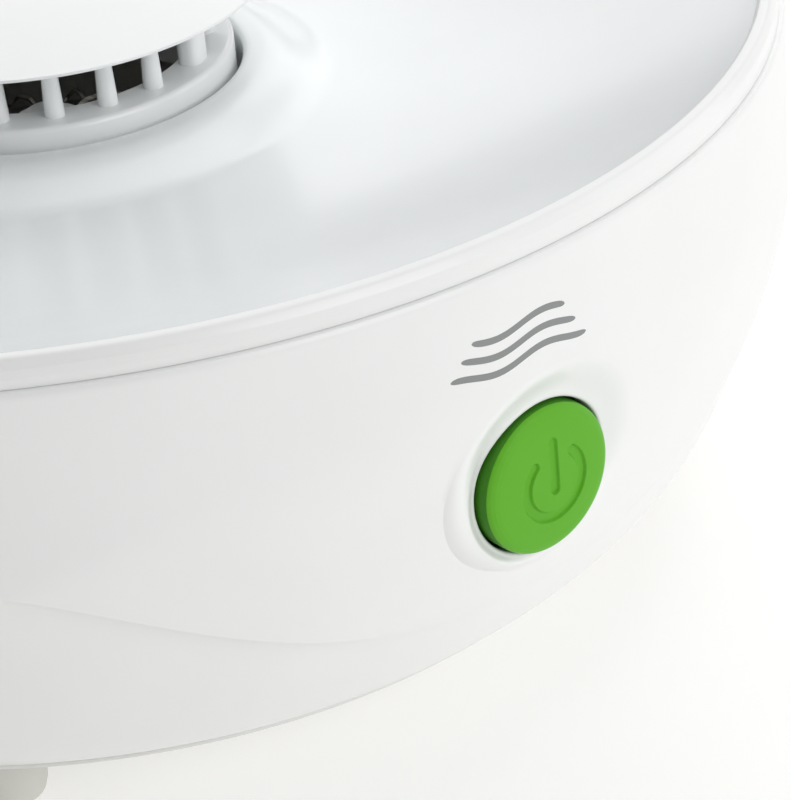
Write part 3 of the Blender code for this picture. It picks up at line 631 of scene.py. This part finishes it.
def build_hub():
    body = fillet([(34.0, 113.0, 0.5), (41.2, 113.0, 0), (43.8, 113.0, 1.3), (43.8, 95.7, 0.3), (47.6, 95.7, 0.3), (47.6, 93.3, 0.4),
                   (41.4, 93.3, 0.4), (41.4, 110.6, 0.3), (35.2, 110.6, 0.3), (35.2, 104.0, 0.4), (34.0, 104.0, 0.4)], steps=5)
    parts = [lathe(body, 288)]
    wide = (30.2, 150.2, 270.2)
    for k in range(15):
        azimuth = wide[k // 5] - 23.2 - 18.15 * (k % 5)
        x, y = polar(37.4, azimuth)
        post = [(0, 112.0), (2.25, 112.0), (2.25, 113.1), (2.2, 114.0)]
        post += [(2.2 - 0.5 * (z - 114.0) / 11.0, z) for z in (117.0, 120.0, 123.0)]
        post += [(1.7, 125.2), (1.7, 126.4), (0, 126.4)]
        parts.append(lathe(post, 40, closed=False, centre=(x, y, 0)))
    for azimuth in wide:
        a = math.radians(azimuth)
        across, out = np.array((math.cos(a), math.sin(a))), np.array((math.sin(a), -math.cos(a)))
        verts, faces, rings = [], [], []
        for z, grow in ((112.0, 1.0), (113.4, 1.0), (119.0, 0.975), (124.6, 0.95), (126.4, 0.95)):
            ring = []
            for k in range(64):
                t = 2 * PI * k / 64
                u = 3.75 * math.copysign(abs(math.cos(t)) ** 0.72, math.cos(t)) * grow
                v = 2.75 * math.copysign(abs(math.sin(t)) ** 0.72, math.sin(t)) * grow
                p = out * (37.6 + v) + across * u
                ring.append(len(verts))
                verts.append((p[0], p[1], z))
            rings.append(ring)
        for a_ring, b_ring in zip(rings, rings[1:]):
            for k in range(64):
                m = (k + 1) % 64
                faces.append((a_ring[k], a_ring[m], b_ring[m], b_ring[k]))
        faces += [tuple(rings[0][::-1]), tuple(rings[-1])]
        parts.append((np.array(verts), faces))
    verts, faces = join(*parts)
    finish_piece("hub_windows", verts, faces, "base", "hub_white", ["hub_grille"], sharp=38.0)

    crown = lambda r: 132.0 - 3.7 * (r / 52.5) ** 2
    top = [(0.0, 132.0)] + [(r, crown(r)) for r in np.linspace(2.0, 50.6, 50)]
    edge = fillet([(50.6, crown(50.6), 0), (52.4, 128.31, 0.3), (52.5, 127.7, 0.2), (50.9, 127.5, 0.3),
                   (41.3, 127.9, 0.3), (41.3, 125.9, 0.4), (33.2, 125.9, 0.4), (33.2, 128.4, 0.4), (0.0, 129.6, 0)], closed=False, steps=5)
    verts, faces = lathe(top + edge[1:], 360, closed=False)
    finish_piece("hub_crown", verts, faces, "base", "hub_white", ["hub_cap"], sharp=34.0)


build_hub()


# ---------------------------------------------------------------- button

def build_button():
    """Green push button with an on-off symbol pressed into its face."""
    face_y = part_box("button_cap")[0].y / MM
    profile = lambda r: float(np.interp(r, (0, 4, 8, 11, 13.5, 14.5, 15.2, 15.6, 15.82, 15.9), (0, 0.03, 0.12, 0.24, 0.44, 0.66, 1.02, 1.42, 1.95, 2.6)))
    cx, cz, ring_r, half_w = 0.7, -0.75, 7.25, 1.12
    gap = math.radians(43.0)
    depth = 0.62

    def groove(x, z):
        dx, dz = x - cx, z - cz
        bar = np.hypot(dx, np.maximum(np.abs(dz - 3.75) - 5.15, 0))
        angle = np.abs(np.arctan2(dx, dz))
        arc = np.abs(np.hypot(dx, dz) - ring_r)
        ex, ez = ring_r * math.sin(gap), ring_r * math.cos(gap)
        ends = np.hypot(np.abs(dx) - ex, dz - ez)
        arc = np.where(angle > gap, arc, ends)
        d = np.minimum(bar, arc)
        return depth * smooth((half_w + 0.16 - d) / 0.42)

    segments = 300
    radii = list(np.linspace(0, 11.4, 96)) + list(np.linspace(11.8, 14.0, 7)) + list(np.linspace(14.15, 15.86, 16)) + [15.9]
    verts, faces, rings = [(0.0, float(groove(np.array(0.0), np.array(0.0))), 0.0)], [], [[0]]
    angle = np.arange(segments) * 2 * PI / segments
    for r in radii[1:]:
        x, z = r * np.cos(angle), r * np.sin(angle)
        y = profile(r) + (groove(x, z) if r < 11.5 else 0)
        base = len(verts)
        verts.extend(np.stack([x, np.broadcast_to(y, x.shape), z], 1))
        rings.append(list(range(base, base + segments)))
    for r, y in ((15.9, 4.4), (15.9, 8.0), (15.9, 14.9), (15.9, 15.0), (17.6, 15.0), (17.6, 16.6), (13.6, 16.6), (13.6, 2.9), (13.4, 2.6), (3.0, 2.6), (3.0, 17.4)):
        base = len(verts)
        verts.extend(np.stack([r * np.cos(angle), np.full(segments, y), r * np.sin(angle)], 1))
        rings.append(list(range(base, base + segments)))
    base = len(verts)
    verts.append((0.0, 17.4, 0.0))
    rings.append([base])
    for a, b in zip(rings, rings[1:]):
        for k in range(segments):
            m = (k + 1) % segments
            if len(a) == 1:
                faces.append((a[0], b[k], b[m]))
            elif len(b) == 1:
                faces.append((a[k], b[0], a[m]))
            else:
                faces.append((a[k], b[k], b[m], a[m]))
    verts = np.array([tuple(v) for v in verts], float) + np.array((0, face_y, BUTTON_Z))
    button = finish_piece("push_button", verts, faces, "button", "button_green", ["button_cap"], sharp=40.0)
    # Faces on the button's side, deeper than the rounded edge of its face, get the darker green: painted shade.
    button.data.materials.append(MATERIAL["button_side_painted_shade"])
    for p in button.data.polygons:
        if math.hypot(p.center.x, p.center.z - BUTTON_Z * MM) > 0.01552 and p.center.y > (face_y + 1.75) * MM:
            p.material_index = 1


build_button()


# ---------------------------------------------------------------- cord gland

def build_gland():
    low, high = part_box("cord_gland")
    back, out = low.y / MM, high.y / MM
    profile = fillet([(3.6, out, 0.5), (8.2, out, 0.6), (9.4, out - 0.9, 0.5), (9.4, 162.95, 0.1), (4.85, 162.95, 0.1), (4.85, back, 0.3), (3.6, back, 0.3)], steps=6)
    ring = lathe(profile, 160, axis="Y", centre=(0, 0, GLAND_Z))
    finish_piece("cord_inlet", ring[0], ring[1], "base", SLOT_OF["cord_gland"], ["cord_gland"], sharp=36.0)


build_gland()


# ---------------------------------------------------------------- cover and feet

def build_cover():
    low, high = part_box("bottom_cover")
    disc = fillet([(0.0, 12.0, 0), (130.8, 12.0, 2.0), (134.2, 14.4, 0.5), (134.4, 15.5, 0.3), (132.0, 15.5, 0.2), (132.0, 19.6, 0.4),
                   (130.6, 19.6, 0.4), (130.6, 14.4, 0.4), (0.0, 14.4, 0)], closed=False, steps=4)
    verts, faces = lathe(disc, 288, closed=False)
    cover = finish_piece("base_cover", verts, faces, "base", "cover_grey_white", ["bottom_cover"])
    cutters = []
    slots = [(18.0, 39.0, 3.2, 15.0 + 30.0 * k) for k in range(12)] + [(42.5, 60.0, 3.4, 18.0 * k) for k in range(20) if k not in (5, 15)]
    for r0, r1, width, azimuth in slots:
        a = math.radians(azimuth)
        out, across = np.array((math.sin(a), -math.cos(a))), np.array((math.cos(a), math.sin(a)))
        h = width / 2
        ring = []
        for k in range(9):
            t = -PI / 2 + PI * k / 8
            ring.append(out * (r1 - h + h * math.cos(t)) + across * h * math.sin(t))
        for k in range(9):
            t = PI / 2 + PI * k / 8
            ring.append(out * (r0 + h + h * math.cos(t)) + across * h * math.sin(t))
        n = len(ring)
        verts = [(p[0], p[1], 10.0) for p in ring] + [(p[0], p[1], 17.0) for p in ring]
        faces = [tuple(range(n))[::-1], tuple(range(n, 2 * n))] + [(k, (k + 1) % n, n + (k + 1) % n, n + k) for k in range(n)]
        cutters.append((np.array(verts), faces))
    for x, y in ((103.5, 42.9), (103.5, -42.9), (-103.5, 42.9), (-103.5, -42.9)):
        cutters.append(lathe([(0, 10.0), (4.1, 10.0), (4.1, 13.2), (2.3, 13.2), (2.3, 17.0), (0, 17.0)], 48, closed=False, centre=(x, y, 0)))
    verts, faces = join(*cutters)
    mesh = bpy.data.meshes.new("cover_slots")
    mesh.from_pydata([tuple(v) for v in verts * MM], [], faces)
    bm = bmesh.new()
    bm.from_mesh(mesh)
    bmesh.ops.recalc_face_normals(bm, faces=bm.faces)
    bm.to_mesh(mesh)
    bm.free()
    cutter = bpy.data.objects.new("cover_slots", mesh)
    bpy.context.scene.collection.objects.link(cutter)
    cut = cover.modifiers.new("slots", "BOOLEAN")
    cut.operation, cut.solver, cut.object = "DIFFERENCE", "EXACT", cutter
    bpy.context.view_layer.update()
    result = bpy.data.meshes.new_from_object(cover.evaluated_get(bpy.context.evaluated_depsgraph_get()))
    cover.modifiers.clear()
    cover.data = result
    bpy.data.objects.remove(cutter)
    bm = bmesh.new()
    bm.from_mesh(result)
    for e in bm.edges:
        e.smooth = len(e.link_faces) == 2 and e.calc_face_angle(0.0) < math.radians(34)
    bm.to_mesh(result)
    bm.free()


build_cover()

for foot in ("foot_front_left", "foot_front_right", "foot_rear_left", "foot_rear_right"):
    low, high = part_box(foot)
    x, y = (low.x + high.x) / 2 / MM, (low.y + high.y) / 2 / MM
    top = min(high.z / MM, 12.6)
    profile = fillet([(0, top, 0), (9.0, top, 0.2), (9.0, 11.6, 0.4), (8.2, 3.0, 1.0), (7.6, 0.9, 0.6), (6.4, 0.0, 0.5), (3.4, 0.0, 0.3), (3.0, 0.6, 0.2), (0, 0.6, 0)], closed=False, steps=5)
    v, f = lathe(profile, 96, closed=False, centre=(x, y, 0))
    finish_piece(foot + "_pad", v, f, "base", "foot_grey", [foot])


# ---------------------------------------------------------------- stage, light, camera

floor_mesh = bpy.data.meshes.new("floor")
floor_mesh.from_pydata([(-6, -6, -0.0002), (6, -6, -0.0002), (6, 6, -0.0002), (-6, 6, -0.0002)], [], [(0, 1, 2, 3)])
floor = bpy.data.objects.new("floor", floor_mesh)
bpy.context.scene.collection.objects.link(floor)
f = Nodes("floor_pale")
f.link(f.ramp(f.noise(3.0).outputs["Fac"], (0.62, 0.616, 0.61), (0.65, 0.646, 0.64)).outputs["Color"], f.shader.inputs["Base Color"])
f.set(Roughness=0.9, Emission_Color=(1.0, 0.995, 0.98, 1.0), Emission_Strength=0.42)
floor_mesh.materials.append(f.material)

scene = bpy.context.scene
scene.view_settings.view_transform = "Standard"
scene.view_settings.look = "None"
world = bpy.data.worlds.new("studio")
world.use_nodes = True
TURN = Matrix.Rotation(-math.radians(31.6), 4, "Z")
sky = world.node_tree
toward = sky.nodes.new("ShaderNodeTexCoord")
side = sky.nodes.new("ShaderNodeVectorMath")
side.operation = "DOT_PRODUCT"
side.inputs[1].default_value = (TURN @ Vector((1.0, 0.15, 0.0))).normalized()
level = sky.nodes.new("ShaderNodeMapRange")
for key, value in (("From Min", -0.9), ("From Max", 0.6), ("To Min", 0.20), ("To Max", 0.42)):
    level.inputs[key].default_value = value
sky.links.new(toward.outputs["Generated"], side.inputs[0])
sky.links.new(side.outputs["Value"], level.inputs["Value"])
sky.links.new(level.outputs["Result"], sky.nodes["Background"].inputs["Strength"])
sky.nodes["Background"].inputs["Color"].default_value = (1.0, 1.0, 1.0, 1.0)
scene.world = world


def softbox(name, place, size, power, target=(0, 0, 0.09)):
    """A square area light. place is given as seen from the camera: right, away, up."""
    light = bpy.data.lights.new(name, "AREA")
    light.shape = "RECTANGLE"
    light.size, light.size_y = size
    light.energy = power
    lamp = bpy.data.objects.new(name, light)
    scene.collection.objects.link(lamp)
    at = TURN @ Vector(place)
    lamp.matrix_world = Matrix.Translation(at) @ (Vector(target) - at).to_track_quat("-Z", "Y").to_matrix().to_4x4()
    return lamp


softbox("key", (1.15, -1.42, 0.95), (1.1, 1.1), 12.8)
softbox("kicker_right", (2.0, 0.1, 0.6), (1.2, 1.2), 4.5)
softbox("back", (0.2, 2.0, 1.35), (2.6, 1.5), 16.5)
softbox("top", (0.3, 0.5, 2.0), (1.8, 1.8), 15.5)


d, h, yaw, pitch, roll = 3.81642651, 1.53289857, 0.115307475, 0.517837741, -0.0925225192
C = Vector((0, -d, h))
F = Vector((math.sin(yaw) * math.cos(pitch), math.cos(yaw) * math.cos(pitch), -math.sin(pitch)))
R = Vector((math.cos(yaw), -math.sin(yaw), 0))
U = R.cross(F)
R2 = math.cos(roll) * R + math.sin(roll) * U
U2 = -math.sin(roll) * R + math.cos(roll) * U
M = Matrix((R2, U2, -F)).transposed().to_4x4()
M.translation = C * 0.1645 + Vector((0, 0, 0.118))
view = bpy.data.cameras.new("camera")
view.lens = 135.0
view.sensor_width = 36.0
view.sensor_fit = "AUTO"
view.clip_start, view.clip_end = 0.01, 50.0
camera = bpy.data.objects.new("camera", view)
scene.collection.objects.link(camera)
camera.matrix_world = TURN @ M
scene.camera = camera
